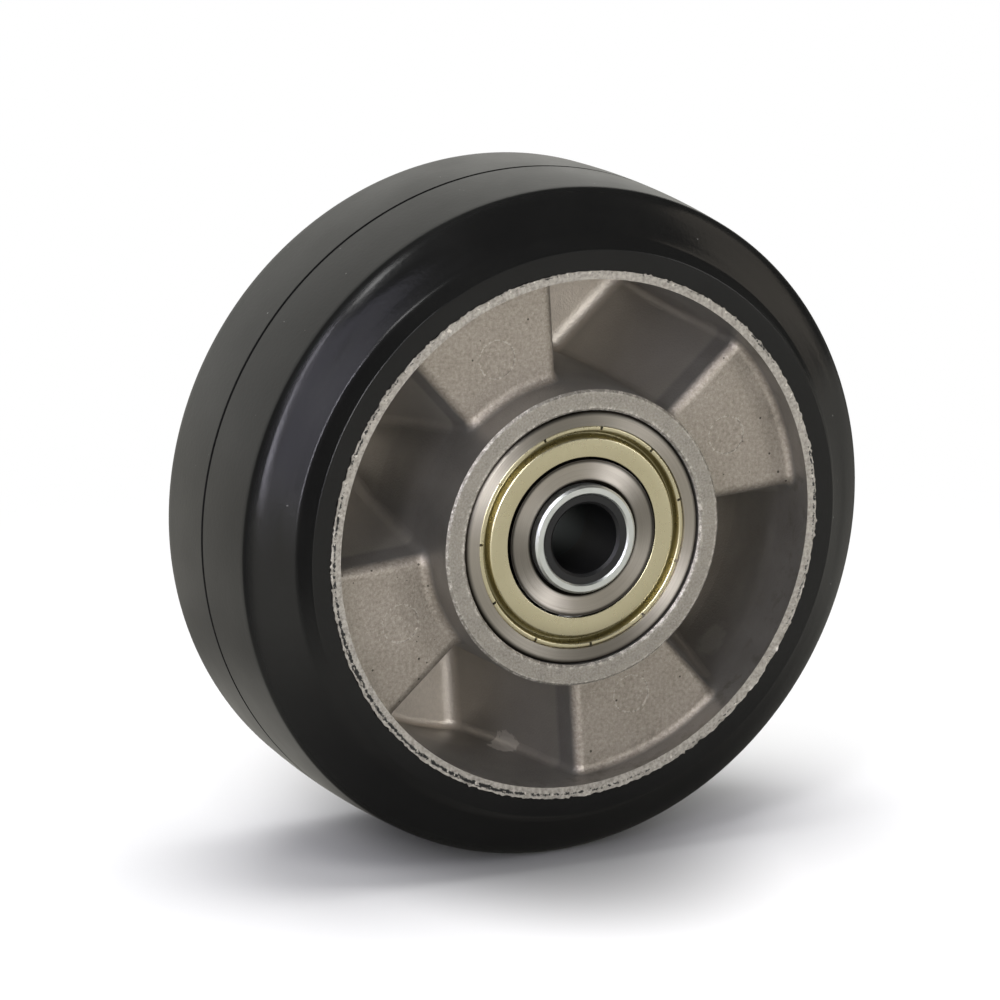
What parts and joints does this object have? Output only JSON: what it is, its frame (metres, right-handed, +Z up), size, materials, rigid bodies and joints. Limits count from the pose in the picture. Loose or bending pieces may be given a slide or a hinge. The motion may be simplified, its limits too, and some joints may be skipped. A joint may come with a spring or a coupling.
{
  "type": "rubber trolley wheel",
  "caption": "Trolley wheel with a solid black rubber tyre on a cast aluminium centre, turning on shielded ball bearings around a plain axle tube.",
  "frame": {"origin": "centre of the wheel, on its axis midway between its faces", "axes": "+Y along the spin axis from the front face to the rear face, +Z up, +X to the right seen from the front"},
  "size_m": [0.125, 0.057, 0.125],
  "materials": {
    "tyre_rubber": "moulded, satin on the tread and glossy on the shoulder bevel",
    "cast_aluminium": "as cast, fine grain, with rough trimmed rim lips",
    "bearing_steel": "ground",
    "ball_steel": "polished",
    "passivated_shield": "pressed sheet, pale yellow passivated zinc",
    "cage_steel": "pressed sheet",
    "zinc_plated_steel": "bright zinc plate, bluish",
    "black_plastic": "turned or moulded, plain"
  },
  "bodies": {
    "axle": {"axle_tube": "zinc_plated_steel", "bearing_spacer": "zinc_plated_steel", "front_bush": "black_plastic", "rear_bush": "black_plastic", "front_inner_ring": "bearing_steel", "rear_inner_ring": "bearing_steel"},
    "wheel": {"tyre": "tyre_rubber", "wheel_centre": "cast_aluminium", "front_outer_ring": "bearing_steel", "front_outboard_shield": "passivated_shield", "front_inboard_shield": "passivated_shield", "rear_outer_ring": "bearing_steel", "rear_outboard_shield": "passivated_shield", "rear_inboard_shield": "passivated_shield"},
    "front_cage": {"front_outboard_cage_half": "cage_steel", "front_inboard_cage_half": "cage_steel", "front_cage_rivets": "cage_steel"},
    "front_ball_1": {"front_ball_1": "ball_steel"},
    "front_ball_2": {"front_ball_2": "ball_steel"},
    "front_ball_3": {"front_ball_3": "ball_steel"},
    "front_ball_4": {"front_ball_4": "ball_steel"},
    "front_ball_5": {"front_ball_5": "ball_steel"},
    "front_ball_6": {"front_ball_6": "ball_steel"},
    "front_ball_7": {"front_ball_7": "ball_steel"},
    "front_ball_8": {"front_ball_8": "ball_steel"},
    "rear_cage": {"rear_outboard_cage_half": "cage_steel", "rear_inboard_cage_half": "cage_steel", "rear_cage_rivets": "cage_steel"},
    "rear_ball_1": {"rear_ball_1": "ball_steel"},
    "rear_ball_2": {"rear_ball_2": "ball_steel"},
    "rear_ball_3": {"rear_ball_3": "ball_steel"},
    "rear_ball_4": {"rear_ball_4": "ball_steel"},
    "rear_ball_5": {"rear_ball_5": "ball_steel"},
    "rear_ball_6": {"rear_ball_6": "ball_steel"},
    "rear_ball_7": {"rear_ball_7": "ball_steel"},
    "rear_ball_8": {"rear_ball_8": "ball_steel"}
  },
  "joints": [
    {"name": "wheel_spin", "type": "hinge", "parent": "axle", "child": "wheel", "pos_m": [0, 0, 0], "axis": [0, 1, 0], "continuous": true},
    {"name": "front_cage_orbit", "type": "hinge", "parent": "axle", "child": "front_cage", "pos_m": [0, -0.0201, 0], "axis": [0, 1, 0], "continuous": true},
    {"name": "front_ball_1_roll", "type": "hinge", "parent": "front_cage", "child": "front_ball_1", "pos_m": [0.01675, -0.0201, 0], "axis": [0, 1, 0], "continuous": true},
    {"name": "front_ball_2_roll", "type": "hinge", "parent": "front_cage", "child": "front_ball_2", "pos_m": [0.01184, -0.0201, 0.01184], "axis": [0, 1, 0], "continuous": true},
    {"name": "front_ball_3_roll", "type": "hinge", "parent": "front_cage", "child": "front_ball_3", "pos_m": [0, -0.0201, 0.01675], "axis": [0, 1, 0], "continuous": true},
    {"name": "front_ball_4_roll", "type": "hinge", "parent": "front_cage", "child": "front_ball_4", "pos_m": [-0.01184, -0.0201, 0.01184], "axis": [0, 1, 0], "continuous": true},
    {"name": "front_ball_5_roll", "type": "hinge", "parent": "front_cage", "child": "front_ball_5", "pos_m": [-0.01675, -0.0201, 0], "axis": [0, 1, 0], "continuous": true},
    {"name": "front_ball_6_roll", "type": "hinge", "parent": "front_cage", "child": "front_ball_6", "pos_m": [-0.01184, -0.0201, -0.01184], "axis": [0, 1, 0], "continuous": true},
    {"name": "front_ball_7_roll", "type": "hinge", "parent": "front_cage", "child": "front_ball_7", "pos_m": [0, -0.0201, -0.01675], "axis": [0, 1, 0], "continuous": true},
    {"name": "front_ball_8_roll", "type": "hinge", "parent": "front_cage", "child": "front_ball_8", "pos_m": [0.01184, -0.0201, -0.01184], "axis": [0, 1, 0], "continuous": true},
    {"name": "rear_cage_orbit", "type": "hinge", "parent": "axle", "child": "rear_cage", "pos_m": [0, 0.0201, 0], "axis": [0, 1, 0], "continuous": true},
    {"name": "rear_ball_1_roll", "type": "hinge", "parent": "rear_cage", "child": "rear_ball_1", "pos_m": [0.01675, 0.0201, 0], "axis": [0, 1, 0], "continuous": true},
    {"name": "rear_ball_2_roll", "type": "hinge", "parent": "rear_cage", "child": "rear_ball_2", "pos_m": [0.01184, 0.0201, -0.01184], "axis": [0, 1, 0], "continuous": true},
    {"name": "rear_ball_3_roll", "type": "hinge", "parent": "rear_cage", "child": "rear_ball_3", "pos_m": [0, 0.0201, -0.01675], "axis": [0, 1, 0], "continuous": true},
    {"name": "rear_ball_4_roll", "type": "hinge", "parent": "rear_cage", "child": "rear_ball_4", "pos_m": [-0.01184, 0.0201, -0.01184], "axis": [0, 1, 0], "continuous": true},
    {"name": "rear_ball_5_roll", "type": "hinge", "parent": "rear_cage", "child": "rear_ball_5", "pos_m": [-0.01675, 0.0201, 0], "axis": [0, 1, 0], "continuous": true},
    {"name": "rear_ball_6_roll", "type": "hinge", "parent": "rear_cage", "child": "rear_ball_6", "pos_m": [-0.01184, 0.0201, 0.01184], "axis": [0, 1, 0], "continuous": true},
    {"name": "rear_ball_7_roll", "type": "hinge", "parent": "rear_cage", "child": "rear_ball_7", "pos_m": [0, 0.0201, 0.01675], "axis": [0, 1, 0], "continuous": true},
    {"name": "rear_ball_8_roll", "type": "hinge", "parent": "rear_cage", "child": "rear_ball_8", "pos_m": [0.01184, 0.0201, 0.01184], "axis": [0, 1, 0], "continuous": true}
  ],
  "couplings": [
    {"joint": "front_cage_orbit", "follows": "wheel_spin", "ratio": 0.61848},
    {"joint": "front_ball_1_roll", "follows": "wheel_spin", "ratio": 1.9916},
    {"joint": "front_ball_2_roll", "follows": "wheel_spin", "ratio": 1.9916},
    {"joint": "front_ball_3_roll", "follows": "wheel_spin", "ratio": 1.9916},
    {"joint": "front_ball_4_roll", "follows": "wheel_spin", "ratio": 1.9916},
    {"joint": "front_ball_5_roll", "follows": "wheel_spin", "ratio": 1.9916},
    {"joint": "front_ball_6_roll", "follows": "wheel_spin", "ratio": 1.9916},
    {"joint": "front_ball_7_roll", "follows": "wheel_spin", "ratio": 1.9916},
    {"joint": "front_ball_8_roll", "follows": "wheel_spin", "ratio": 1.9916},
    {"joint": "rear_cage_orbit", "follows": "wheel_spin", "ratio": 0.61848},
    {"joint": "rear_ball_1_roll", "follows": "wheel_spin", "ratio": 1.9916},
    {"joint": "rear_ball_2_roll", "follows": "wheel_spin", "ratio": 1.9916},
    {"joint": "rear_ball_3_roll", "follows": "wheel_spin", "ratio": 1.9916},
    {"joint": "rear_ball_4_roll", "follows": "wheel_spin", "ratio": 1.9916},
    {"joint": "rear_ball_5_roll", "follows": "wheel_spin", "ratio": 1.9916},
    {"joint": "rear_ball_6_roll", "follows": "wheel_spin", "ratio": 1.9916},
    {"joint": "rear_ball_7_roll", "follows": "wheel_spin", "ratio": 1.9916},
    {"joint": "rear_ball_8_roll", "follows": "wheel_spin", "ratio": 1.9916}
  ]
}
